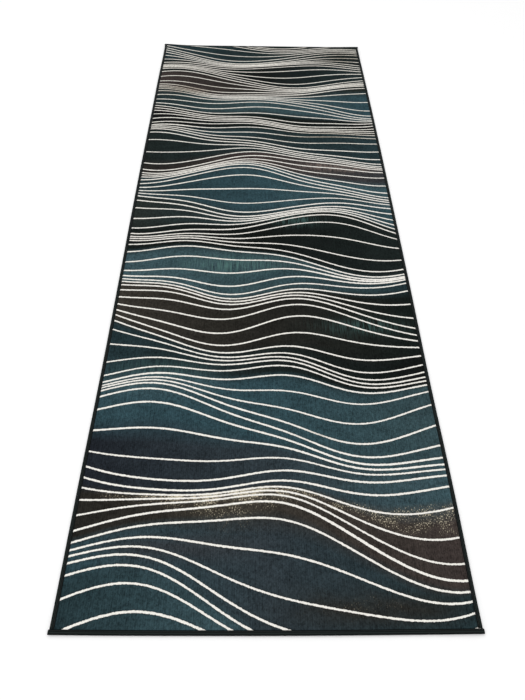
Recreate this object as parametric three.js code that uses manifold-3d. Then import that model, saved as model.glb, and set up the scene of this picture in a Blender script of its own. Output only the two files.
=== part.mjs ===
// Runner rug, 2 ft 6 in by 7 ft: a printed low pile on a knitted ground cloth, bonded to a felt back with a
// rubber grip coat, its four edges bound with folded tape and lock-stitched.
//
// Millimetres. X runs across the rug, Y along it and Z up. The origin is on the floor under the rug's middle.

import * as THREE from "three";
import { mergeVertices } from "three/addons/utils/BufferGeometryUtils.js";
import Module from "manifold-3d";

const wasm = await Module();
wasm.setup();

// Outline, over the bindings.
const WIDTH = 762;
const LENGTH = 2134;
const END_OVERHANG = 2; // how far an end binding sticks out past each side binding

// The bonded layers, from the floor up.
const GRIP_COAT = 0.7;
const FELT = 1.45;
const MEMBRANE = 0.15;
const GROUND_CLOTH = 0.55;
const PILE = 2.15;
const BOND = 0.05; // the glue line between two layers

// The binding: one tape folded round the rug's cut edge.
const TAPE = 0.55; // thickness
const TAPE_REACH = 9; // how far each leg of the fold covers the rug
const FOLD_RADIUS = 1.7; // outside of the fold
const TAPE_BOTTOM = 0.55; // height of the lower leg's underside
const TAPE_TOP = 4.4; // height of the upper leg's top side
const TAPE_CLEARANCE = 0.1; // between the tape and what it grips
const EDGE_GAP = 0.8; // between the rug's cut edge and the inside of the fold
const BUTT_GAP = 0.3; // between the ends of a side binding and the end bindings

// The lockstitch: one thread above and one below each binding.
const THREAD = 0.45;
const THREAD_SIDES = 8;
const SEAM_INSET = 6.8; // from the binding's outer edge to the seam
const SEAM_END_GAP = 3; // the seam stops this far short of its binding's ends

// The care label, sewn in under one side near the far end.
const LABEL = { reach: 45, width: 30, thickness: 0.25, fromFarEnd: 160 };
const LABEL_MARGIN = 1.5; // bare felt round the label, where the grip coat is left off

// Heights that follow from the layers.
const feltBottom = GRIP_COAT + BOND;
const feltTop = feltBottom + FELT;
const membraneBottom = feltTop + BOND;
const groundBottom = membraneBottom + MEMBRANE + BOND;
const pileBottom = groundBottom + GROUND_CLOTH + BOND;
const pileTop = pileBottom + PILE;

// The cut edge of the layers, and the line inside which they are free of the binding.
const cutX = WIDTH / 2 - TAPE - EDGE_GAP;
const cutY = LENGTH / 2 - TAPE - EDGE_GAP;
const freeX = WIDTH / 2 - TAPE_REACH - BUTT_GAP;
const freeY = LENGTH / 2 - TAPE_REACH - BUTT_GAP;

const printedPile = new THREE.MeshStandardMaterial({ color: 0x22343a, roughness: 0.95, metalness: 0 });
const knittedCloth = new THREE.MeshStandardMaterial({ color: 0x2b2d2e, roughness: 0.9, metalness: 0 });
const membraneFilm = new THREE.MeshStandardMaterial({ color: 0xb9bcbd, roughness: 0.5, metalness: 0 });
const needledFelt = new THREE.MeshStandardMaterial({ color: 0x5b5e60, roughness: 1, metalness: 0 });
const gripRubber = new THREE.MeshStandardMaterial({ color: 0x2d2f31, roughness: 0.7, metalness: 0 });
const bindingTape = new THREE.MeshStandardMaterial({ color: 0x111615, roughness: 0.85, metalness: 0 });
const sewingThread = new THREE.MeshStandardMaterial({ color: 0x0d1110, roughness: 0.6, metalness: 0 });
const labelSatin = new THREE.MeshStandardMaterial({ color: 0xe8e6e0, roughness: 0.45, metalness: 0 });

const rug = new THREE.Group();

function addPiece(name, geometry, material, x = 0, y = 0, z = 0) {
  const mesh = new THREE.Mesh(geometry, material);
  mesh.name = name;
  mesh.position.set(x, y, z);
  rug.add(mesh);
  return mesh;
}

// A closed geometry as a manifold-3d solid.
function solidOf(geometry) {
  const bare = geometry.clone();
  bare.deleteAttribute("normal");
  bare.deleteAttribute("uv");
  const merged = mergeVertices(bare, 1e-4);
  return new wasm.Manifold(
    new wasm.Mesh({
      numProp: 3,
      vertProperties: merged.getAttribute("position").array,
      triVerts: new Uint32Array(merged.index.array),
    }),
  );
}

function geometryOf(solid) {
  const mesh = solid.getMesh();
  return new THREE.BufferGeometry()
    .setAttribute("position", new THREE.BufferAttribute(mesh.vertProperties, 3))
    .setIndex(new THREE.BufferAttribute(mesh.triVerts, 1));
}

// A box from its middle in plan, its size and its lowest and highest points.
function slab(sizeX, sizeY, bottom, top, x = 0, y = 0) {
  return new THREE.BoxGeometry(sizeX, sizeY, top - bottom).translate(x, y, (bottom + top) / 2);
}

// Turns a section drawn in (across, height) into a bar along Y, or along X, centred on the origin.
function barAlongY(section, length) {
  return new THREE.ExtrudeGeometry(section, { depth: length, bevelEnabled: false, curveSegments: 5 })
    .rotateX(Math.PI / 2)
    .translate(0, length / 2, 0);
}

function barAlongX(section, length) {
  return barAlongY(section, length).rotateZ(-Math.PI / 2);
}

// A layer whose border is squeezed between two heights and which swells to full thickness inside the binding.
// outer and inner are half sizes: of the cut edge, and of the part at full thickness.
function sectionOf(outer, squeezed, inner, full) {
  return new THREE.Shape([
    new THREE.Vector2(-outer, squeezed.bottom),
    new THREE.Vector2(-squeezed.to, squeezed.bottom),
    new THREE.Vector2(-inner, full.bottom),
    new THREE.Vector2(inner, full.bottom),
    new THREE.Vector2(squeezed.to, squeezed.bottom),
    new THREE.Vector2(outer, squeezed.bottom),
    new THREE.Vector2(outer, squeezed.top),
    new THREE.Vector2(squeezed.to, squeezed.top),
    new THREE.Vector2(inner, full.top),
    new THREE.Vector2(-inner, full.top),
    new THREE.Vector2(-squeezed.to, squeezed.top),
    new THREE.Vector2(-outer, squeezed.top),
  ]);
}

// The same section across and along the rug, each swept over the whole rug: what they share is the layer.
function squeezedLayer(squeezed, full, slope) {
  const across = sectionOf(cutX, { ...squeezed, to: freeX }, freeX - slope, full);
  const along = sectionOf(cutY, { ...squeezed, to: freeY }, freeY - slope, full);
  return solidOf(barAlongY(across, 2 * cutY)).intersect(solidOf(barAlongX(along, 2 * cutX)));
}

// Grip coat: a film with raised dots under the felt, drawn here as one even slab. It stops inside the bindings,
// and a notch at one side leaves room for the care label.
const gripHalfX = freeX - 1;
const gripHalfY = freeY - 1;
const labelY = LENGTH / 2 - LABEL.fromFarEnd;
const notchReach = LABEL.reach + LABEL_MARGIN;
const gripCoat = solidOf(slab(2 * gripHalfX, 2 * gripHalfY, 0, GRIP_COAT)).subtract(
  solidOf(slab(2 * notchReach, LABEL.width + 2 * LABEL_MARGIN, -1, GRIP_COAT + 1, gripHalfX, labelY)),
);
addPiece("grip_coat", geometryOf(gripCoat), gripRubber);

// Felt back, squeezed from below by the lower leg of the binding.
const feltEdge = { bottom: TAPE_BOTTOM + TAPE + TAPE_CLEARANCE, top: feltTop };
const felt = squeezedLayer(feltEdge, { bottom: feltBottom, top: feltTop }, 1);
addPiece("felt_back", geometryOf(felt), needledFelt);

// Waterproof membrane and knitted ground cloth: plain sheets cut to the same edge.
const membrane = slab(2 * cutX, 2 * cutY, membraneBottom, membraneBottom + MEMBRANE);
addPiece("waterproof_membrane", membrane, membraneFilm);
const ground = slab(2 * cutX, 2 * cutY, groundBottom, groundBottom + GROUND_CLOTH);
addPiece("ground_cloth", ground, knittedCloth);

// Printed pile, pressed down under the upper leg of the binding and standing proud inside it.
const pileEdge = { bottom: pileBottom, top: TAPE_TOP - TAPE - TAPE_CLEARANCE };
const pile = squeezedLayer(pileEdge, { bottom: pileBottom, top: pileTop }, 1.3);
addPiece("printed_pile", geometryOf(pile), printedPile);

// Section of a folded tape: two legs joined by a rounded fold. Across runs inwards from the fold's outer face.
function tapeSection() {
  const inside = FOLD_RADIUS - TAPE;
  const section = new THREE.Shape();
  section.moveTo(TAPE_REACH, TAPE_BOTTOM);
  section.lineTo(TAPE_REACH, TAPE_BOTTOM + TAPE);
  section.lineTo(FOLD_RADIUS, TAPE_BOTTOM + TAPE);
  section.absarc(FOLD_RADIUS, TAPE_BOTTOM + FOLD_RADIUS, inside, -Math.PI / 2, -Math.PI, true);
  section.absarc(FOLD_RADIUS, TAPE_TOP - FOLD_RADIUS, inside, Math.PI, Math.PI / 2, true);
  section.lineTo(TAPE_REACH, TAPE_TOP - TAPE);
  section.lineTo(TAPE_REACH, TAPE_TOP);
  section.lineTo(FOLD_RADIUS, TAPE_TOP);
  section.absarc(FOLD_RADIUS, TAPE_TOP - FOLD_RADIUS, FOLD_RADIUS, Math.PI / 2, Math.PI, false);
  section.absarc(FOLD_RADIUS, TAPE_BOTTOM + FOLD_RADIUS, FOLD_RADIUS, Math.PI, 1.5 * Math.PI, false);
  section.closePath();
  return section;
}

function threadAlongY(length) {
  return new THREE.CylinderGeometry(THREAD / 2, THREAD / 2, length, THREAD_SIDES);
}

// One edge of the rug: its binding, the needle thread on top and the bobbin thread below. Each is made for the
// left edge, with the fold at the origin, and turned to the edge it belongs to.
function addEdge(edge, bindingLength, turn, foldX, foldY) {
  const seamLength = bindingLength - 2 * SEAM_END_GAP;
  const seamX = foldX + SEAM_INSET * Math.cos(turn);
  const seamY = foldY + SEAM_INSET * Math.sin(turn);
  const needleHeight = TAPE_TOP + BOND + THREAD / 2;
  const bobbinHeight = TAPE_BOTTOM - BOND - THREAD / 2;
  const binding = barAlongY(tapeSection(), bindingLength);
  addPiece(`binding_${edge}`, binding, bindingTape, foldX, foldY).rotation.z = turn;
  addPiece(`needle_thread_${edge}`, threadAlongY(seamLength), sewingThread, seamX, seamY, needleHeight)
    .rotation.z = turn;
  addPiece(`bobbin_thread_${edge}`, threadAlongY(seamLength), sewingThread, seamX, seamY, bobbinHeight)
    .rotation.z = turn;
}

const sideBinding = 2 * freeY;
const endBinding = WIDTH + 2 * END_OVERHANG;
addEdge("left", sideBinding, 0, -WIDTH / 2, 0);
addEdge("right", sideBinding, Math.PI, WIDTH / 2, 0);
addEdge("near_end", endBinding, Math.PI / 2, 0, -LENGTH / 2);
addEdge("far_end", endBinding, -Math.PI / 2, 0, LENGTH / 2);

// Care label: a blank satin tab against the felt, its root at the right-hand binding's lower leg.
const labelTop = feltBottom - BOND;
addPiece(
  "care_label",
  slab(LABEL.reach, LABEL.width, labelTop - LABEL.thickness, labelTop, freeX - LABEL.reach / 2, labelY),
  labelSatin,
);

export default rug;
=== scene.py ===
import bisect
import math
import random

import bmesh
import bpy
from mathutils import Matrix, Vector


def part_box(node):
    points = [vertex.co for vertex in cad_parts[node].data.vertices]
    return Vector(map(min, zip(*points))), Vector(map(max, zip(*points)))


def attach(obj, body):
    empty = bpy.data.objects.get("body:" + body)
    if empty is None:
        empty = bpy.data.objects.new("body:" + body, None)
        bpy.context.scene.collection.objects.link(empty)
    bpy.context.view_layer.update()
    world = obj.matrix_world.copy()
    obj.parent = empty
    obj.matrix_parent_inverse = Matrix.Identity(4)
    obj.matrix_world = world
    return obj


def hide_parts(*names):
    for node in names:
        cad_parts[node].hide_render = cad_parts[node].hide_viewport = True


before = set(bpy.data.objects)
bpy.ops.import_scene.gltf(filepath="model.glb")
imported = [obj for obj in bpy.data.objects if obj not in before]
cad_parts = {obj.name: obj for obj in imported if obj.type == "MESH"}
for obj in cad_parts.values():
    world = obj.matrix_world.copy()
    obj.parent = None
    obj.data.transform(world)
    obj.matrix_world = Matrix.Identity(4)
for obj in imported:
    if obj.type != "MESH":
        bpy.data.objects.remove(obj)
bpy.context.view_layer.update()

# -----------------------------------------------------------------------------------------------------------
# Camera, floor and studio light: a pale floor, a broad soft light overhead and even light from all round, so
# that the low rug throws next to no shadow.

MM = 0.001


def linear(colour):
    """An sRGB hex colour as linear red, green, blue and alpha."""
    parts = [int(colour[i : i + 2], 16) / 255 for i in (1, 3, 5)]
    return [p / 12.92 if p <= 0.04045 else ((p + 0.055) / 1.055) ** 2.4 for p in parts] + [1.0]


def add_node(tree, kind, settings=None, inputs=None, output=0):
    """Adds a node with its settings and inputs, each a value or a socket that feeds it. Gives one output."""
    made = tree.nodes.new(kind)
    for name, value in (settings or {}).items():
        setattr(made, name, value)
    for name, value in (inputs or {}).items():
        if isinstance(value, bpy.types.NodeSocket):
            tree.links.new(value, made.inputs[name])
        else:
            made.inputs[name].default_value = value
    return made.outputs[output]


def new_finish(name):
    """A material with its node tree and its shader."""
    made = bpy.data.materials.new(name)
    made.use_nodes = True
    return made, made.node_tree, made.node_tree.nodes["Principled BSDF"]


camera = bpy.data.objects.new("camera", bpy.data.cameras.new("camera"))
bpy.context.scene.collection.objects.link(camera)
camera.data.lens = 29.47
camera.data.sensor_width = 36
camera.location = (-0.027, -1.2728, 1.0984)
camera.rotation_euler = [math.radians(a) for a in (36.948, -0.909, -0.332)]
bpy.context.scene.camera = camera
bpy.context.scene.view_settings.view_transform = "Standard"

floor_low = bmesh.new()
bmesh.ops.create_grid(floor_low, x_segments=1, y_segments=1, size=9)
floor_mesh = bpy.data.meshes.new("floor")
floor_low.to_mesh(floor_mesh)
floor = bpy.data.objects.new("floor", floor_mesh)
bpy.context.scene.collection.objects.link(floor)
floor_paint, tree, shader = new_finish("white_studio_floor_paint")
shader.inputs["Base Color"].default_value = linear("#fbfbfb")
shader.inputs["Roughness"].default_value = 0.9
shader.inputs["Specular IOR Level"].default_value = 0.1
floor_mesh.materials.append(floor_paint)

overhead = bpy.data.objects.new("overhead_light", bpy.data.lights.new("overhead_light", "AREA"))
bpy.context.scene.collection.objects.link(overhead)
overhead.data.shape = "RECTANGLE"
overhead.data.size, overhead.data.size_y = 5.5, 7.5
overhead.data.energy = 56
overhead.location = (-0.6, -0.4, 3.2)
overhead.rotation_euler = (math.radians(-4), math.radians(-8), 0)

world = bpy.data.worlds.new("studio")
bpy.context.scene.world = world
world.use_nodes = True
world.node_tree.nodes["Background"].inputs["Color"].default_value = linear("#ffffff")
world.node_tree.nodes["Background"].inputs["Strength"].default_value = 0.85

# -----------------------------------------------------------------------------------------------------------
# Grip coat: thermoplastic rubber, spread on the felt as a thin film and printed with raised dots that hold
# the floor. The film stops inside the bindings and is left off round the care label.

WIDTH, LENGTH = 762, 2134  # of the whole rug, in mm
HALF_WIDTH, HALF_LENGTH = WIDTH / 2 * MM, LENGTH / 2 * MM
FILM = 0.2 * MM
DOT_PITCH, DOT_ROW, DOT_RADIUS = 20 * MM, 17.3 * MM, 3.4 * MM
LABEL_MARGIN = 1.5 * MM  # bare felt round the care label
DOT_CLEAR = 8 * MM  # from the label's notch to the nearest dot
COLOURS = {"data_type": "RGBA"}  # a mix node's inputs 0, 6 and 7 are then its amount and two colours

# How the limp rug lies, in mm: how far each edge strays outwards at nine places from one of its ends to the
# other, how high its low ripples are and over what lengths they turn by one radian, and how high each corner
# lifts over how wide a reach.
LEFT_STRAY = (-1.3, -1.1, -2.1, -1.2, 0.9, 1.9, 1.9, 2.0, 0.7)
RIGHT_STRAY = (-1.2, 1.6, 0.8, 3.0, 4.0, 4.9, 4.8, 3.4, 0.9)
NEAR_STRAY = (2.2, 3.2, 3.9, 4.3, 4.6, 4.5, 4.0, 3.4, 2.8)
FAR_STRAY = (-2.0, -4.5, -4.8, -4.6, -4.5, -4.5, -4.5, -4.5, -3.5)
RIPPLE, RIPPLE_LENGTH, SWELL_LENGTH = 0.35, 87, 210
CORNER_LIFTS = ((-1, 1, 3.2), (1, 1, 1.4), (-1, -1, 0.9), (1, -1, 1.2))
LIFT_REACH = 55


def through(values, t):
    """The height at t, from 0 to 1, of a smooth line through evenly spaced values."""
    place = min(max(t, 0.0), 1.0) * (len(values) - 1)
    i = min(int(place), len(values) - 2)
    f = place - i
    before, a, b, after = (values[min(max(k, 0), len(values) - 1)] for k in range(i - 1, i + 3))
    bend = 2 * before - 5 * a + 4 * b - after + f * (3 * (a - b) + after - before)
    return a + f * ((b - before) + f * bend) / 2


def lay(bm):
    """Lays a flat piece on the floor as the limp rug lies."""
    for v in bm.verts:
        x, y, _ = v.co
        across, along = x / HALF_WIDTH, 0.5 + y / (2 * HALF_LENGTH)
        left, right = through(LEFT_STRAY, along), through(RIGHT_STRAY, along)
        v.co.x += MM * (right * max(across, 0) ** 2 - left * min(across, 0) ** 2)
        near, far = (through(stray, 0.5 + across / 2) for stray in (NEAR_STRAY, FAR_STRAY))
        v.co.y += MM * (far * max(0, 4 * along - 3) - near * max(0, 1 - 4 * along))
        ripple = 0.5 + 0.5 * math.sin(y / MM / RIPPLE_LENGTH + 1.3 * across)
        lift = RIPPLE * ripple * (1 + 0.6 * math.sin(3.1 * across + y / MM / SWELL_LENGTH))
        for cx, cy, height in CORNER_LIFTS:
            away = Vector((x - cx * HALF_WIDTH, y - cy * HALF_LENGTH)).length / MM
            lift += height * math.exp(-((away / LIFT_REACH) ** 2))
        v.co.z += MM * max(lift, 0)


def add_piece(name, bm, finish, node=None):
    """Lays a piece, and puts it in the scene in the place of its CAD node."""
    lay(bm)
    for face in bm.faces:
        face.smooth = True
    mesh = bpy.data.meshes.new(name)
    bm.to_mesh(mesh)
    bm.free()
    mesh.materials.append(finish)
    piece = bpy.data.objects.new(name, mesh)
    bpy.context.scene.collection.objects.link(piece)
    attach(piece, "root")
    if node:
        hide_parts(node)
    return piece


def layer(low, high, step=10 * MM):
    """A closed sheet between two corners, with points at every step for the ripples to bend."""
    bm = bmesh.new()
    nx, ny = round((high[0] - low[0]) / step), round((high[1] - low[1]) / step)
    bmesh.ops.create_grid(bm, x_segments=nx, y_segments=ny, size=0.5)
    bmesh.ops.scale(bm, vec=(high[0] - low[0], high[1] - low[1], 1), verts=bm.verts)
    middle = ((low[0] + high[0]) / 2, (low[1] + high[1]) / 2, high[2])
    bmesh.ops.translate(bm, vec=middle, verts=bm.verts)
    close_under(bm, low[2])
    return bm


def close_under(bm, bottom):
    """Gives an open upper side its copy at the bottom height and the wall between them."""
    copy = bmesh.ops.duplicate(bm, geom=bm.verts[:] + bm.edges[:] + bm.faces[:])
    for v in copy["geom"]:
        if isinstance(v, bmesh.types.BMVert):
            v.co.z = bottom
    bmesh.ops.reverse_faces(bm, faces=[g for g in copy["geom"] if isinstance(g, bmesh.types.BMFace)])
    bmesh.ops.bridge_loops(bm, edges=[e for e in bm.edges if e.is_boundary])
    bmesh.ops.recalc_face_normals(bm, faces=bm.faces)


# Thermoplastic rubber, knife-spread: satin charcoal with the felt's unevenness just showing through.
grip_rubber, tree, shader = new_finish("spread_thermoplastic_rubber")
place = add_node(tree, "ShaderNodeTexCoord", output="Object")
cloudy = add_node(tree, "ShaderNodeTexNoise", inputs={"Vector": place, "Scale": 90.0, "Detail": 4.0})
shade = add_node(tree, "ShaderNodeMix", COLOURS, {0: cloudy, 6: linear("#26282a"), 7: linear("#35383a")}, 2)
pimples = add_node(tree, "ShaderNodeTexNoise", inputs={"Vector": place, "Scale": 900.0, "Detail": 2.0})
relief = add_node(tree, "ShaderNodeBump", inputs={"Strength": 0.3, "Distance": 0.2 * MM, "Height": pimples})
tree.links.new(shade, shader.inputs["Base Color"])
tree.links.new(relief, shader.inputs["Normal"])
shader.inputs["Roughness"].default_value = 0.62

grip_low, grip_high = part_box("grip_coat")
label_low, label_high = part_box("care_label")
film = layer((grip_low.x, grip_low.y, grip_high.z - FILM), tuple(grip_high))
notch_left = label_low.x - LABEL_MARGIN
notch_near, notch_far = label_low.y - LABEL_MARGIN, label_high.y + LABEL_MARGIN
for point, normal in (
    ((notch_left, 0, 0), (1, 0, 0)),
    ((0, notch_near, 0), (0, 1, 0)),
    ((0, notch_far, 0), (0, 1, 0)),
):
    whole = film.verts[:] + film.edges[:] + film.faces[:]
    bmesh.ops.bisect_plane(film, geom=whole, plane_co=point, plane_no=normal, dist=1e-6)
gone = []
for face in film.faces:
    middle = face.calc_center_median()
    if middle.x > notch_left and notch_near < middle.y < notch_far:
        gone.append(face)
bmesh.ops.delete(film, geom=gone, context="FACES")
bmesh.ops.bridge_loops(film, edges=[e for e in film.edges if e.is_boundary])
bmesh.ops.recalc_face_normals(film, faces=film.faces)
grip_film = add_piece("grip_film", film, grip_rubber, "grip_coat")

dot = bmesh.new()
dot_height = grip_high.z - 0.6 * FILM
bmesh.ops.create_cone(
    dot, cap_ends=True, segments=8, radius1=0.62 * DOT_RADIUS, radius2=DOT_RADIUS, depth=dot_height
)
bmesh.ops.translate(dot, vec=(0, 0, dot_height / 2), verts=dot.verts)
pair = bmesh.ops.duplicate(dot, geom=dot.verts[:] + dot.edges[:] + dot.faces[:])
bmesh.ops.translate(
    dot,
    vec=(DOT_PITCH / 2, DOT_ROW, 0),
    verts=[g for g in pair["geom"] if isinstance(g, bmesh.types.BMVert)],
)
across_count = int((grip_high.x - grip_low.x - DOT_PITCH) / DOT_PITCH)
along_count = int((grip_high.y - grip_low.y - DOT_ROW) / (2 * DOT_ROW))
first = Vector((-across_count * DOT_PITCH / 2, -along_count * DOT_ROW, 0))
bmesh.ops.translate(dot, vec=first, verts=dot.verts)
dot_mesh = bpy.data.meshes.new("dot")
dot.to_mesh(dot_mesh)
dot.free()
dot_pattern = bpy.data.objects.new("dot_pattern", dot_mesh)
bpy.context.scene.collection.objects.link(dot_pattern)
for step, count in (((DOT_PITCH, 0, 0), across_count), ((0, 2 * DOT_ROW, 0), along_count)):
    dot_rows = dot_pattern.modifiers.new("dot_rows", "ARRAY")
    dot_rows.use_relative_offset = False
    dot_rows.use_constant_offset = True
    dot_rows.constant_offset_displace = step
    dot_rows.count = count
dots = bmesh.new()
dots.from_object(dot_pattern, bpy.context.evaluated_depsgraph_get())
bpy.data.objects.remove(dot_pattern)
# A dot goes as a whole when any of it comes near the notch.
touched = set()
for v in dots.verts:
    if v.co.x > notch_left - DOT_CLEAR and notch_near - DOT_CLEAR < v.co.y < notch_far + DOT_CLEAR:
        touched.update(v.link_faces)
spread = bmesh.ops.region_extend(dots, geom=list(touched), use_faces=True)
while spread["geom"]:
    touched |= {g for g in spread["geom"] if isinstance(g, bmesh.types.BMFace)}
    spread = bmesh.ops.region_extend(dots, geom=list(touched), use_faces=True)
bmesh.ops.delete(dots, geom=list(touched), context="FACES")
grip_dots = add_piece("grip_dots", dots, grip_rubber)

# -----------------------------------------------------------------------------------------------------------
# Felt back: needled polyester felt that gives the rug its body. It is glued to the membrane above it, and
# the binding's lower leg squeezes its border.

SQUEEZED_BORDER, SQUEEZE = 9.3 * MM, 0.45 * MM  # how wide the border is, and how far it is pressed up

# Needle-punched polyester felt: matt grey, mottled by fibres of two greys, slightly hairy.
needled_felt, tree, shader = new_finish("needled_polyester_felt")
place = add_node(tree, "ShaderNodeTexCoord", output="Object")
fibres = add_node(
    tree,
    "ShaderNodeTexNoise",
    inputs={"Vector": place, "Scale": 650.0, "Detail": 6.0, "Roughness": 0.7, "Distortion": 1.5},
)
shade = add_node(tree, "ShaderNodeMix", COLOURS, {0: fibres, 6: linear("#46494b"), 7: linear("#7b7f82")}, 2)
relief = add_node(tree, "ShaderNodeBump", inputs={"Strength": 0.6, "Distance": 0.3 * MM, "Height": fibres})
tree.links.new(shade, shader.inputs["Base Color"])
tree.links.new(relief, shader.inputs["Normal"])
shader.inputs["Roughness"].default_value = 0.95
shader.inputs["Sheen Weight"].default_value = 0.25

felt_low, felt_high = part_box("felt_back")
felt = layer(felt_low, felt_high)
for v in felt.verts:
    inset = min(felt_high.x - abs(v.co.x), felt_high.y - abs(v.co.y))
    if v.co.z < (felt_low.z + felt_high.z) / 2 and inset < SQUEEZED_BORDER:
        v.co.z += SQUEEZE
felt_piece = add_piece("felt_back_cloth", felt, needled_felt, "felt_back")

# -----------------------------------------------------------------------------------------------------------
# Waterproof membrane: a thin polyurethane film that keeps spills from the felt and the floor. It is bonded
# between the felt and the ground cloth, and cut to the same edge.

# Cast polyurethane film: milky, smooth and a little glossy, with a faint haze where the glue has wetted it.
membrane_film, tree, shader = new_finish("cast_polyurethane_film")
place = add_node(tree, "ShaderNodeTexCoord", output="Object")
haze = add_node(tree, "ShaderNodeTexNoise", inputs={"Vector": place, "Scale": 60.0, "Detail": 3.0})
shade = add_node(tree, "ShaderNodeMix", COLOURS, {0: haze, 6: linear("#b2b6b7"), 7: linear("#c6c9c9")}, 2)
tree.links.new(shade, shader.inputs["Base Color"])
shader.inputs["Roughness"].default_value = 0.42

membrane_low, membrane_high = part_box("waterproof_membrane")
membrane = layer(membrane_low, membrane_high)
membrane_piece = add_piece("membrane_film", membrane, membrane_film, "waterproof_membrane")

# -----------------------------------------------------------------------------------------------------------
# Ground cloth: a warp-knitted polyester cloth whose loops hold the pile. It is glued to the membrane, and
# cut to the same edge.

WALE, COURSE = 1.4 * MM, 1.1 * MM  # from loop to loop across and along

# Warp-knitted polyester: matt dark grey in rows of loops. A wave texture's bands are tau / 20 apart at a
# scale of 1.
knitted_cloth, tree, shader = new_finish("warp_knitted_polyester")
place = add_node(tree, "ShaderNodeTexCoord", output="Object")
wales = add_node(
    tree,
    "ShaderNodeTexWave",
    {"bands_direction": "X"},
    {"Vector": place, "Scale": math.tau / 20 / WALE, "Distortion": 0.4},
    "Fac",
)
courses = add_node(
    tree,
    "ShaderNodeTexWave",
    {"bands_direction": "Y"},
    {"Vector": place, "Scale": math.tau / 20 / COURSE, "Distortion": 0.4},
    "Fac",
)
loops = add_node(tree, "ShaderNodeMath", {"operation": "MULTIPLY"}, {0: wales, 1: courses})
shade = add_node(tree, "ShaderNodeMix", COLOURS, {0: loops, 6: linear("#242627"), 7: linear("#3a3d3e")}, 2)
relief = add_node(tree, "ShaderNodeBump", inputs={"Strength": 0.5, "Distance": 0.3 * MM, "Height": loops})
tree.links.new(shade, shader.inputs["Base Color"])
tree.links.new(relief, shader.inputs["Normal"])
shader.inputs["Roughness"].default_value = 0.9

ground_low, ground_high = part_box("ground_cloth")
ground = layer(ground_low, ground_high)
ground_piece = add_piece("ground_knit", ground, knitted_cloth, "ground_cloth")

# -----------------------------------------------------------------------------------------------------------
# Printed pile: short cut polyester, tufted in fine ribs that run the length of the rug. Thin cream lines
# sweep across it in waves, over brushed bands of teal, green-black, brown-black and dull purple.

# Places on the print are in mm from the rug's near left corner: u across it and v along it.
RIB, TUFT_LENGTH = 4.2 * MM, 2.4 * MM
PRESSED, FREE = 7.7, 9.0  # mm from the cut edge: where the binding's grip ends, and the pile stands full
PRESSED_PILE = 0.7 * MM  # its thickness under the binding
ROW_GAP = 0.004  # mm, the least space between two rows of points
GROUND = {
    "teal": "#2e454c",
    "petrol": "#394f55",
    "sea": "#34474b",
    "slate": "#223236",
    "indigo": "#2d363b",
    "night": "#1e2228",
    "soot": "#131a18",
    "ink": "#111413",
    "deep": "#1e2a2b",
    "fir": "#1a2120",
    "olive": "#242a27",
    "umber": "#23221f",
    "bark": "#34312c",
    "plum": "#3a3331",
    "dusk": "#323437",
}

# The print's ground colours, from the near end to the far one: how many gaps between lines a band takes, and
# its colours at left, middle and right.
BANDS = (
    (4, ("slate", "petrol", "teal")),
    (4, ("teal", "indigo", "slate")),
    (4, ("umber", "bark", "plum")),
    (4, ("night", "indigo", "petrol")),
    (6, ("teal", "teal", "sea")),
    (5, ("slate", "fir", "ink")),
    (7, ("bark", "umber", "soot")),
    (5, ("petrol", "sea", "slate")),
    (6, ("soot", "ink", "fir")),
    (4, ("olive", "slate", "teal")),
    (6, ("slate", "teal", "petrol")),
    (4, ("umber", "plum", "dusk")),
    (7, ("fir", "deep", "slate")),
    (6, ("ink", "soot", "ink")),
    (6, ("deep", "sea", "teal")),
    (5, ("plum", "umber", "olive")),
    (7, ("fir", "ink", "deep")),
    (7, ("slate", "deep", "fir")),
    (7, ("ink", "fir", "olive")),
)

# How the lines run: their gaps narrow along the rug and swell and shrink in slow waves, and then the whole
# field sways. A wave is its height, and the lengths in mm over which it turns by one radian across and along.
LINE_COUNT = 104
MARGIN = 70  # mm by which the field of lines runs past each end
LEAST_GAP = 0.7  # mm between the middles of two lines that run together
GAPS_NEAR, GAPS_FAR = 1.65, 0.95  # in proportion to one another
SWELLS = ((0.6, 171, 24), (0.45, -230, 37), (0.25, 108, -52))
SWAYS = ((17, 131, 260), (6, 73, -150))

# Where a line is drawn fuller: its number, where it is fullest, how far that reaches and how much wider it
# is there, in mm.
FULL_STROKES = (
    (9, 560, 120, 0.7),
    (22, 120, 90, 0.6),
    (37, 640, 130, 0.9),
    (51, 250, 110, 0.8),
    (66, 90, 80, 1.2),
    (79, 500, 120, 1.0),
    (93, 330, 90, 0.9),
)

# Brushed washes that cross the bands: ground, across, along, half width and half length in mm, strength.
WASHES = (
    ("umber", 590, 40, 160, 26, 0.9),
    ("dusk", 210, 150, 150, 24, 0.8),
    ("petrol", 130, 520, 150, 34, 0.8),
    ("teal", 450, 860, 130, 22, 0.5),
    ("slate", 640, 1180, 110, 26, 0.6),
    ("teal", 260, 1520, 150, 20, 0.4),
    ("slate", 600, 1790, 90, 40, 0.6),
)

# The line under which gold specks hang, how dense they are there and how far down they reach in mm, from
# left to right.
GOLD_LINE = 12
GOLD_DENSITY = (0.2, 0.7, 1.2, 1.35, 1.0, 0.7, 1.1, 1.35, 1.2)
GOLD_REACH = (8, 9, 12, 20, 22, 14, 11, 18, 20)

# Patches of the print's finish: across, along, half width and half length in mm, and how strong.
GOLD_SPECKS = (
    (560, 45, 130, 26, 0.14),
    (300, 205, 70, 24, 0.12),
)
BRUSHED = (
    (300, 905, 120, 26, 0.9),
    (470, 1085, 60, 18, 0.6),
    (140, 560, 110, 24, 0.3),
    (620, 690, 90, 22, 0.4),
)
FADED = (
    (640, 1330, 90, 13, 0.8),
    (560, 1345, 60, 12, 0.7),
    (110, 1790, 80, 14, 0.5),
)
TAN_INK = (
    (600, 1500, 150, 30, 0.8),
    (120, 1800, 120, 40, 0.7),
    (690, 2040, 80, 40, 0.7),
    (520, 390, 90, 14, 0.4),
)


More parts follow.
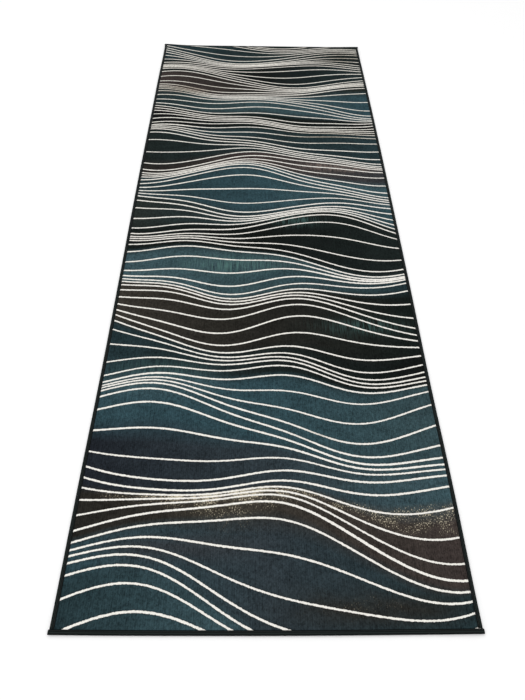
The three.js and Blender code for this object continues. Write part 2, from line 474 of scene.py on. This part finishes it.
def patch(patches, u, v):
    """How strongly any of the patches colours a place."""
    total = 0.0
    for centre_u, centre_v, half_u, half_v, strength in patches:
        away = ((u - centre_u) / half_u) ** 2 + ((v - centre_v) / half_v) ** 2
        total += strength * math.exp(-away) if away < 6 else 0
    return total


def printed_lines(u):
    """The heights at one place across of all the print's lines, in mm from the near end."""
    heights = [0.0]
    for i in range(LINE_COUNT - 1):
        t = i / (LINE_COUNT - 1)
        swell = sum(size * math.sin(u / across + LENGTH * t / along) for size, across, along in SWELLS)
        heights.append(heights[-1] + (GAPS_NEAR + (GAPS_FAR - GAPS_NEAR) * t) * math.exp(swell))
    stretch = (LENGTH + 2 * MARGIN) / heights[-1]
    for i, height in enumerate(heights):
        still = height * stretch - MARGIN
        heights[i] = still + sum(size * math.sin(u / across + still / along) for size, across, along in SWAYS)
    for i in range(1, LINE_COUNT):
        heights[i] = max(heights[i], heights[i - 1] + LEAST_GAP)
    return heights


# Each line is the middle of a row of points, with one more row half way to the next line, so the print
# follows the mesh exactly and each point can hold how far it is from the nearest line's edge. Two more rows
# and columns along each cut edge lie under the binding.
pile_low, pile_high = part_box("printed_pile")
rows = 2 * LINE_COUNT - 1 + 4
near_v, far_v = pile_low.y / MM + LENGTH / 2, pile_high.y / MM + LENGTH / 2
left_u, right_u = pile_low.x / MM + WIDTH / 2, pile_high.x / MM + WIDTH / 2
ribs_across = round((right_u - left_u - 2 * FREE) / (RIB / MM))
places_u = [left_u, left_u + PRESSED]
places_u += [left_u + FREE + (right_u - left_u - 2 * FREE) * k / ribs_across for k in range(ribs_across + 1)]
places_u += [right_u - PRESSED, right_u]
dice = random.Random(11)
half_inks = [dice.uniform(1.65, 2.1) for _ in range(LINE_COUNT)]
band_of_line = []
for k, (gaps, _) in enumerate(BANDS):
    band_of_line += [k] * gaps
mixes = [[Vector(linear(GROUND[name])[:3]) for name in names] for _, names in BANDS]


def ground_at(line, u):
    """The ground just beyond a line, blended from its left, middle and right colours."""
    left, middle, right = mixes[band_of_line[max(line, 0)]]
    across = min(max(u / (WIDTH / 2), 0), 2)
    return left.lerp(middle, across) if across < 1 else middle.lerp(right, across - 1)


pile = bmesh.new()
bmesh.ops.create_grid(pile, x_segments=len(places_u) - 1, y_segments=rows - 1, size=0.5)
edge_mark = pile.verts.layers.float.new("edge")
ground_mark = pile.verts.layers.float_color.new("ground")
ink_mark = pile.verts.layers.float_color.new("ink")
pile.verts.ensure_lookup_table()
under_tape = {0: near_v, 1: near_v + PRESSED, rows - 2: far_v - PRESSED, rows - 1: far_v}
for column, u in enumerate(places_u):
    lines = printed_lines(u)
    ahead = printed_lines(u + 2)
    for row in range(rows):
        i = min(max((row - 2) // 2, 0), LINE_COUNT - 1)
        j = min(max((row - 1) // 2, 0), LINE_COUNT - 1)
        v = (lines[i] + lines[j]) / 2
        # It stays in the free pile, and rows that meet at its end stay a hair apart.
        v = min(max(v, near_v + FREE + ROW_GAP * row), far_v - FREE - ROW_GAP * (rows - row))
        v = under_tape.get(row, v)
        reached = bisect.bisect_left(lines, v - 0.01)  # the first line at this place or beyond it
        passed = bisect.bisect_right(lines, v + 0.01)  # the first line surely beyond it
        nearby = range(max(reached - 1, 0), min(passed + 1, LINE_COUNT))
        nearest = min(nearby, key=lambda k: abs(lines[k] - v))
        slope = (ahead[nearest] - lines[nearest]) / 2
        away = abs(lines[nearest] - v) / math.sqrt(1 + slope * slope)
        tan = min(patch(TAN_INK, u, v) + 0.25 * (v / LENGTH) ** 2, 1.0)
        half_ink = half_inks[nearest] * (1 - 0.35 * tan) + 0.3 * v / LENGTH
        for number, where, reach, extra in FULL_STROKES:
            if number == nearest:
                half_ink += extra * math.exp(-(((u - where) / reach) ** 2))
        point = pile.verts[row * len(places_u) + column]
        point.co = ((u - WIDTH / 2) * MM, (v - LENGTH / 2) * MM, pile_high.z)
        point[edge_mark] = away - half_ink
        colour = (ground_at(reached - 1, u) + ground_at(passed - 1, u)) / 2
        for name, centre_u, centre_v, half_u, half_v, strength in WASHES:
            amount = strength * math.exp(-(((u - centre_u) / half_u) ** 4) - ((v - centre_v) / half_v) ** 2)
            colour = colour.lerp(Vector(linear(GROUND[name])[:3]), min(amount, 1))
        point[ground_mark] = (*colour, 1)
        gold = patch(GOLD_SPECKS, u, v)
        drop = lines[GOLD_LINE] - v
        if drop > -1:
            hanging = math.exp(-drop / through(GOLD_REACH, u / WIDTH)) if drop > 1 else 0.3
            gold += through(GOLD_DENSITY, u / WIDTH) * hanging
        point[ink_mark] = (
            min(gold, 1.2),
            min(patch(BRUSHED, u, v), 1.2),
            min(patch(FADED, u, v), 1.0),
            tan,
        )
close_under(pile, pile_low.z)
for v in pile.verts:
    inset = min(pile_high.x - abs(v.co.x), pile_high.y - abs(v.co.y)) / MM
    if v.co.z > pile_low.z + 1e-6 and inset < (PRESSED + FREE) / 2:
        v.co.z = pile_low.z + PRESSED_PILE

# How uneven the pile's nap and print are, at several grains: their size across and along the rug in mm, and
# their detail.
GRAINS = {
    "wander": (7, 14, 2),
    "fine streak": (2.1, 55, 2),
    "broad streak": (6, 90, 3),
    "fine mottle": (5, 8, 3),
    "broad mottle": (55, 30, 2),
    "brush stroke": (3.2, 50, 4),
    "fade": (8, 16, 4),
    "drift": (34, 26, 3),
    "speck": (1.7, 3.4, 4),
    "wear": (3, 5, 3),
    "fibre": (0.5, 0.7, 4),
}

# Cut polyester pile, disperse-printed: matt, its ground mottled and streaked along the ribs where the nap
# lies unevenly, and the edge of each line a little jagged, because a tuft takes the ink as a whole.
polyester_pile, tree, shader = new_finish("printed_cut_polyester_pile")
place = add_node(tree, "ShaderNodeTexCoord", output="Object")
edge = add_node(tree, "ShaderNodeAttribute", {"attribute_name": "edge"}, output="Fac")
ground_colour = add_node(tree, "ShaderNodeAttribute", {"attribute_name": "ground"}, output="Color")
tan_amount = add_node(tree, "ShaderNodeAttribute", {"attribute_name": "ink"}, output="Alpha")
patches = add_node(tree, "ShaderNodeSeparateColor", inputs={0: tan_amount.node.outputs["Color"]}).node
gold_amount, brushed_amount, faded_amount = patches.outputs[:3]
grains = {}
for name, (across, along, detail) in GRAINS.items():
    grain = (1 / (across * MM), 1 / (along * MM), 1)
    scaled = add_node(tree, "ShaderNodeMapping", inputs={"Vector": place, "Scale": grain})
    noise = {"Vector": scaled, "Scale": 1.0, "Detail": detail}
    grains[name] = add_node(tree, "ShaderNodeTexNoise", inputs=noise)
tuft_grain = (1 / (0.5 * RIB), 1 / TUFT_LENGTH, 1)
scaled = add_node(tree, "ShaderNodeMapping", inputs={"Vector": place, "Scale": tuft_grain})
tufts = add_node(tree, "ShaderNodeTexVoronoi", {"voronoi_dimensions": "2D"}, {"Vector": scaled, "Scale": 1.0})
tuft = add_node(tree, "ShaderNodeSeparateColor", inputs={0: tufts.node.outputs["Color"]})
rib_wave = {"Vector": place, "Scale": math.tau / 20 / RIB}
ribs = add_node(tree, "ShaderNodeTexWave", {"bands_direction": "X"}, rib_wave, "Fac")

# The line's jagged edge, in mm, and the cream ink inside it.
TIMES_PLUS = {"operation": "MULTIPLY_ADD"}
SMOOTHLY = {"interpolation_type": "SMOOTHSTEP"}
ragged = add_node(tree, "ShaderNodeMath", TIMES_PLUS, {0: tuft, 1: 0.8, 2: edge})
ragged = add_node(tree, "ShaderNodeMath", TIMES_PLUS, {0: grains["wander"], 1: 1.1, 2: ragged})
ragged = add_node(tree, "ShaderNodeMath", TIMES_PLUS, {0: grains["fibre"], 1: 0.7, 2: ragged})
ragged = add_node(tree, "ShaderNodeMath", TIMES_PLUS, {0: brushed_amount, 1: 0.35, 2: ragged})
cream_amount = add_node(
    tree,
    "ShaderNodeMapRange",
    SMOOTHLY,
    {"Value": ragged, "From Min": 0.95, "From Max": 1.65, "To Min": 1.0, "To Max": 0.0},
)
halo = add_node(
    tree,
    "ShaderNodeMapRange",
    SMOOTHLY,
    {"Value": ragged, "From Min": 1.6, "From Max": 3.7, "To Min": 0.72, "To Max": 1.0},
)

# How light or dark the pile's ground is, from streaks, mottling, tufts and fibres, with painted shade
# darkening the grooves between ribs.
mottle_and_groove_shade = 0.0
for source, low, high, darkest, lightest in (
    (grains["fine streak"], 0.3, 0.7, 0.43, 0.57),
    (grains["broad streak"], 0.3, 0.7, 0.43, 0.57),
    (grains["fine mottle"], 0.3, 0.7, -0.2, 0.2),
    (grains["broad mottle"], 0.3, 0.7, -0.12, 0.12),
    (tuft, 0.0, 1.0, -0.18, 0.18),
    (grains["fibre"], 0.3, 0.7, -0.24, 0.24),
    # painted shade: darker in the grooves between ribs, a touch lighter on their ridges
    (ribs, 0.0, 0.6, -0.12, 0.03),
):
    part = add_node(
        tree,
        "ShaderNodeMapRange",
        SMOOTHLY,
        {"Value": source, "From Min": low, "From Max": high, "To Min": darkest, "To Max": lightest},
    )
    mottle_and_groove_shade = add_node(tree, "ShaderNodeMath", {"operation": "ADD"}, {0: mottle_and_groove_shade, 1: part})
mottle_and_groove_shade = add_node(tree, "ShaderNodeMath", {"operation": "MULTIPLY"}, {0: mottle_and_groove_shade, 1: halo})
shade = add_node(tree, "ShaderNodeVectorMath", {"operation": "SCALE"}, {0: ground_colour, "Scale": mottle_and_groove_shade})

# Brushed teal and faded brown, each where the nap's grain lets it show.
for amount, source, low, high, colour in (
    (brushed_amount, grains["brush stroke"], 0.4, 0.62, "#527470"),
    (faded_amount, grains["fade"], 0.3, 0.7, "#84766e"),
):
    showing = add_node(
        tree, "ShaderNodeMapRange", SMOOTHLY, {"Value": source, "From Min": low, "From Max": high}
    )
    amount = add_node(
        tree, "ShaderNodeMath", {"operation": "MULTIPLY", "use_clamp": True}, {0: amount, 1: showing}
    )
    shade = add_node(tree, "ShaderNodeMix", COLOURS, {0: amount, 6: shade, 7: linear(colour)}, 2)

# Gold: a dull cast in drifts, with specks in it.
drift = add_node(
    tree,
    "ShaderNodeMapRange",
    SMOOTHLY,
    {"Value": grains["drift"], "From Min": 0.32, "From Max": 0.64, "To Min": 0.3, "To Max": 1.25},
)
drift = add_node(tree, "ShaderNodeMath", {"operation": "MULTIPLY"}, {0: gold_amount, 1: drift})
cast = add_node(tree, "ShaderNodeMath", {"operation": "MULTIPLY", "use_clamp": True}, {0: drift, 1: 0.35})
shade = add_node(tree, "ShaderNodeMix", COLOURS, {0: cast, 6: shade, 7: linear("#5f5747")}, 2)
specks = add_node(tree, "ShaderNodeMath", TIMES_PLUS, {0: drift, 1: 0.21, 2: grains["speck"]})
specks = add_node(
    tree, "ShaderNodeMapRange", SMOOTHLY, {"Value": specks, "From Min": 0.62, "From Max": 0.74}
)
present = add_node(tree, "ShaderNodeMapRange", SMOOTHLY, {"Value": drift, "From Min": 0.02, "From Max": 0.3})
specks = add_node(tree, "ShaderNodeMath", {"operation": "MULTIPLY"}, {0: specks, 1: present})
shade = add_node(tree, "ShaderNodeMix", COLOURS, {0: specks, 6: shade, 7: linear("#cdc3aa")}, 2)

# The cream and tan ink, worn and shaded by the tufts.
wear = add_node(tree, "ShaderNodeMath", TIMES_PLUS, {0: tuft, 1: 0.25, 2: grains["wear"]})
wear = add_node(
    tree,
    "ShaderNodeMapRange",
    SMOOTHLY,
    {"Value": wear, "From Min": 0.4, "From Max": 0.85, "To Min": 1.02, "To Max": 0.88},
)
wear = add_node(tree, "ShaderNodeMath", TIMES_PLUS, {0: grains["fibre"], 1: 0.3, 2: wear})
cream = add_node(
    tree, "ShaderNodeMix", COLOURS, {0: tan_amount, 6: linear("#e6e3dc"), 7: linear("#b3a999")}, 2
)
cream = add_node(tree, "ShaderNodeVectorMath", {"operation": "SCALE"}, {0: cream, "Scale": wear})
shade = add_node(tree, "ShaderNodeMix", COLOURS, {0: cream_amount, 6: shade, 7: cream}, 2)
tree.links.new(shade, shader.inputs["Base Color"])

# The pile's relief: rounded ribs, tufts and fibres.
height = add_node(tree, "ShaderNodeMath", {"operation": "MULTIPLY"}, {0: tufts, 1: -0.5})
height = add_node(tree, "ShaderNodeMath", TIMES_PLUS, {0: ribs, 1: 0.5, 2: height})
height = add_node(tree, "ShaderNodeMath", TIMES_PLUS, {0: grains["fibre"], 1: 0.6, 2: height})
relief = add_node(tree, "ShaderNodeBump", inputs={"Strength": 0.7, "Distance": 1.0 * MM, "Height": height})
tree.links.new(relief, shader.inputs["Normal"])
shader.inputs["Roughness"].default_value = 0.92
shader.inputs["Specular IOR Level"].default_value = 0.03

pile_piece = add_piece("wave_printed_pile", pile, polyester_pile, "printed_pile")

# -----------------------------------------------------------------------------------------------------------
# Edge bindings: a ribbed polyester tape folded over each cut edge, rolled full at the fold and pulled down at
# its seam. The end bindings run past the side ones and their ends are tucked in.

# All in mm.
TAPE, TAPE_WIDTH = 0.5, 21.5
TAPE_RIB = 1.5
TAPE_CROWN = 14.2  # how far along the tape, from its lower leg's end, the fold is highest
STITCH = 3.1
SEAM = 6.8  # from the rug's edge to the row of stitches
STITCH_PULL = 0.06  # how far each stitch draws the tape up and down
TUCK = 2.8  # how far from a tucked end the tape begins to round off
TUCK_ROWS = 5  # of points, over which it does so
TUCK_MIDDLE = (4.6, 2.45)  # the point across and up that a tucked end closes towards
TAPE_LEGS = (  # the tape's middle line round the fold: across from the rug's edge and height
    (8.9, 0.86),
    (6.8, 0.82),
    (4.5, 0.80),
    (2.2, 0.82),
    (1.0, 1.12),
    (0.36, 1.85),
    (0.27, 2.7),
    (0.62, 3.55),
    (1.5, 4.22),
    (2.7, 4.62),
    (3.9, 4.68),
    (5.0, 4.5),
    (5.9, 4.18),
    (6.8, 4.02),
    (7.7, 4.2),
    (8.5, 4.3),
    (8.95, 4.12),
)

# Woven polyester grosgrain: green-black and matt, with cross ribs, and a painted highlight along the crown of
# the fold. The real ribs are 0.7 mm apart, and they are drawn 1.5 mm apart, because finer ones would not
# show.
binding_tape, tree, shader = new_finish("woven_polyester_grosgrain")
unfolded = add_node(tree, "ShaderNodeUVMap", {"uv_map": "tape"})
cross_ribs = add_node(
    tree,
    "ShaderNodeTexWave",
    {"bands_direction": "Y"},
    {"Vector": unfolded, "Scale": math.tau / 20 / (TAPE_RIB * MM), "Distortion": 0.6},
    "Fac",
)
rubbed = add_node(tree, "ShaderNodeTexNoise", inputs={"Vector": unfolded, "Scale": 120.0, "Detail": 4.0})
weave = add_node(tree, "ShaderNodeMath", {"operation": "ADD"}, {0: cross_ribs, 1: rubbed})
from_root = add_node(tree, "ShaderNodeSeparateXYZ", inputs={0: unfolded})
from_crown = add_node(tree, "ShaderNodeMath", {"operation": "SUBTRACT"}, {0: from_root, 1: TAPE_CROWN * MM})
from_crown = add_node(tree, "ShaderNodeMath", {"operation": "ABSOLUTE"}, {0: from_crown})
# Painted highlight: a lighter band along the crown of the fold, where the light falls on the rolled tape.
painted_crown_highlight = add_node(
    tree,
    "ShaderNodeMapRange",
    SMOOTHLY,
    {"Value": from_crown, "From Min": 0.0, "From Max": 2 * MM, "To Min": 0.25, "To Max": 0.0},
)
raised = add_node(tree, "ShaderNodeMapRange", SMOOTHLY, {"Value": weave, "From Min": 0.5, "From Max": 1.6})
shade = add_node(tree, "ShaderNodeMix", COLOURS, {0: raised, 6: linear("#060a0a"), 7: linear("#0f1514")}, 2)
shade = add_node(tree, "ShaderNodeMix", COLOURS, {0: painted_crown_highlight, 6: shade, 7: linear("#38423f")}, 2)
relief = add_node(tree, "ShaderNodeBump", inputs={"Strength": 0.25, "Distance": 0.25 * MM, "Height": weave})
tree.links.new(shade, shader.inputs["Base Color"])
tree.links.new(relief, shader.inputs["Normal"])
shader.inputs["Roughness"].default_value = 0.7
shader.inputs["Specular IOR Level"].default_value = 0.08


def fold_tape(length, tucked):
    """A tape along Y, its fold at x = 0 and its middle at y = 0. Tucked ends are rounded off and drawn in
    towards a point across and up.
    """
    bm = bmesh.new()
    steps = round(length / (4 * MM))
    bmesh.ops.create_grid(bm, x_segments=len(TAPE_LEGS) - 1, y_segments=steps, size=0.5)
    flat_place = bm.verts.layers.float_vector.new("flat_place")
    walked = [0.0]
    for a, b in zip(TAPE_LEGS, TAPE_LEGS[1:]):
        walked.append(walked[-1] + math.dist(a, b) * MM)
    for v in bm.verts:
        k = round((v.co.x + 0.5) * (len(TAPE_LEGS) - 1))
        step = round((v.co.y + 0.5) * steps)
        y = (step / steps - 0.5) * length
        across, height = TAPE_LEGS[k]
        from_end = min(step, steps - step)
        if tucked and from_end < TUCK_ROWS:
            turn = from_end / (TUCK_ROWS - 1) * math.pi / 2
            y = math.copysign(length / 2 - TUCK * MM * (1 - math.cos(turn)), y)
            swell = math.sin(turn)
            across = TUCK_MIDDLE[0] + (across - TUCK_MIDDLE[0]) * (0.72 + 0.28 * swell)
            height = TUCK_MIDDLE[1] + (height - TUCK_MIDDLE[1]) * max(swell, 0.18)
        beside_seam = abs(across - SEAM) < 1.25 and height > 3
        pull = STITCH_PULL * math.sin(math.tau * y / (STITCH * MM)) if beside_seam else 0
        v.co = (across * MM, y, (height + pull) * MM)
        v[flat_place] = (walked[k], y, 0)
    bmesh.ops.recalc_face_normals(bm, faces=bm.faces)
    if sum(f.normal.z * f.calc_center_median().z for f in bm.faces) < 0:
        bmesh.ops.reverse_faces(bm, faces=bm.faces)
    bmesh.ops.solidify(bm, geom=bm.faces[:], thickness=TAPE * MM)
    tape_map = bm.loops.layers.uv.new("tape")
    for face in bm.faces:
        for corner in face.loops:
            corner[tape_map].uv = corner.vert[flat_place].xy
    return bm


# For each edge, how far a piece made for the left one turns, and where the fold then goes.
EDGES = {
    "left": (0.0, (-HALF_WIDTH, 0, 0)),
    "right": (math.pi, (HALF_WIDTH, 0, 0)),
    "near_end": (math.pi / 2, (0, -HALF_LENGTH, 0)),
    "far_end": (-math.pi / 2, (0, HALF_LENGTH, 0)),
}


def turned(bm, edge):
    """Turns a piece made for the left edge to the edge it belongs to."""
    turn, shift = EDGES[edge]
    bmesh.ops.rotate(bm, cent=(0, 0, 0), matrix=Matrix.Rotation(turn, 3, "Z"), verts=bm.verts)
    bmesh.ops.translate(bm, vec=shift, verts=bm.verts)
    return bm


tape_pieces = {}
for edge_name in EDGES:
    low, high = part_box(f"binding_{edge_name}")
    length = max(high.x - low.x, high.y - low.y)
    tape = turned(fold_tape(length, edge_name.endswith("end")), edge_name)
    tape_pieces[edge_name] = (
        add_piece(f"tape_{edge_name}", tape, binding_tape, f"binding_{edge_name}"),
        length,
    )

# -----------------------------------------------------------------------------------------------------------
# Lockstitch: bonded polyester thread, one row of 3 mm stitches round the rug. The needle thread lies in the
# dip of the binding and dives at each stitch, and the bobbin thread does the same underneath.

# All in mm. A stitch is five points, each with its place along it and its share of the dive.
THREAD_RADIUS, PLY = 0.21, 0.8
NEEDLE_HEIGHT, NEEDLE_DIVE = 4.47, -0.62
BOBBIN_HEIGHT, BOBBIN_DIVE = 0.34, 0.5
STITCH_POINTS = ((0.0, 0.5), (0.12, 0.12), (0.36, 0.0), (0.64, 0.0), (0.88, 0.12))

# Bonded polyester sewing thread: black-green, three plies twisted, with a slight waxy shine.
sewing_thread, tree, shader = new_finish("bonded_polyester_thread")
place = add_node(tree, "ShaderNodeTexCoord", output="Object")
plies = add_node(
    tree,
    "ShaderNodeTexWave",
    {"bands_direction": "DIAGONAL"},
    {"Vector": place, "Scale": math.tau / 20 / (PLY * MM), "Distortion": 0.5},
    "Fac",
)
shade = add_node(tree, "ShaderNodeMix", COLOURS, {0: plies, 6: linear("#0b0f0e"), 7: linear("#1c2322")}, 2)
relief = add_node(tree, "ShaderNodeBump", inputs={"Strength": 0.4, "Distance": 0.1 * MM, "Height": plies})
tree.links.new(shade, shader.inputs["Base Color"])
tree.links.new(relief, shader.inputs["Normal"])
shader.inputs["Roughness"].default_value = 0.5


def stitch_row(length, height, dive):
    """A row of stitches along Y, in mm, whose thread lies at a height and dives between stitches."""
    count = int(length / STITCH)
    path = bpy.data.curves.new("row", "CURVE")
    path.dimensions = "3D"
    path.bevel_depth = THREAD_RADIUS * MM
    path.bevel_resolution = 1
    path.use_fill_caps = True
    spline = path.splines.new("POLY")
    spline.points.add(len(STITCH_POINTS) * count)
    for k, point in enumerate(spline.points):
        stitch, part = divmod(k, len(STITCH_POINTS))
        along, dived = STITCH_POINTS[part]
        y = (stitch + along) * STITCH - count * STITCH / 2
        point.co = (SEAM * MM, y * MM, (height + dive * dived) * MM, 1)
    row = bpy.data.objects.new("row", path)
    bpy.context.scene.collection.objects.link(row)
    bm = bmesh.new()
    bm.from_mesh(bpy.data.meshes.new_from_object(row.evaluated_get(bpy.context.evaluated_depsgraph_get())))
    bpy.data.objects.remove(row)
    return bm


for edge_name in EDGES:
    tape_piece, length = tape_pieces[edge_name]
    low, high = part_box(f"needle_thread_{edge_name}")
    seam = max(high.x - low.x, high.y - low.y) / MM
    needle = turned(stitch_row(seam, NEEDLE_HEIGHT, NEEDLE_DIVE), edge_name)
    bobbin = turned(stitch_row(seam, BOBBIN_HEIGHT, BOBBIN_DIVE), edge_name)
    needle_piece = add_piece(
        f"needle_stitches_{edge_name}", needle, sewing_thread, f"needle_thread_{edge_name}"
    )
    bobbin_piece = add_piece(
        f"bobbin_stitches_{edge_name}", bobbin, sewing_thread, f"bobbin_thread_{edge_name}"
    )

# -----------------------------------------------------------------------------------------------------------
# Care label: a blank tab of white satin, its root caught in the right-hand binding's seam on the underside.

LABEL_CURL, FLOAT_WIDTH = 0.12 * MM, 0.5 * MM

# Woven polyester satin: off-white, smooth, with a soft shine along its floats.
label_satin, tree, shader = new_finish("woven_polyester_satin")
place = add_node(tree, "ShaderNodeTexCoord", output="Object")
floats = add_node(
    tree,
    "ShaderNodeTexWave",
    {"bands_direction": "X"},
    {"Vector": place, "Scale": math.tau / 20 / FLOAT_WIDTH, "Distortion": 0.3},
    "Fac",
)
shade = add_node(tree, "ShaderNodeMix", COLOURS, {0: floats, 6: linear("#dcdad4"), 7: linear("#ecebe6")}, 2)
relief = add_node(tree, "ShaderNodeBump", inputs={"Strength": 0.25, "Distance": 0.05 * MM, "Height": floats})
tree.links.new(shade, shader.inputs["Base Color"])
tree.links.new(relief, shader.inputs["Normal"])
shader.inputs["Roughness"].default_value = 0.4

label = layer(label_low, label_high, 3 * MM)
for v in label.verts:  # the loose end curls a little from the felt
    loose = (label_high.x - v.co.x) / (label_high.x - label_low.x)
    v.co.z -= LABEL_CURL * loose**3
label_piece = add_piece("satin_label", label, label_satin, "care_label")
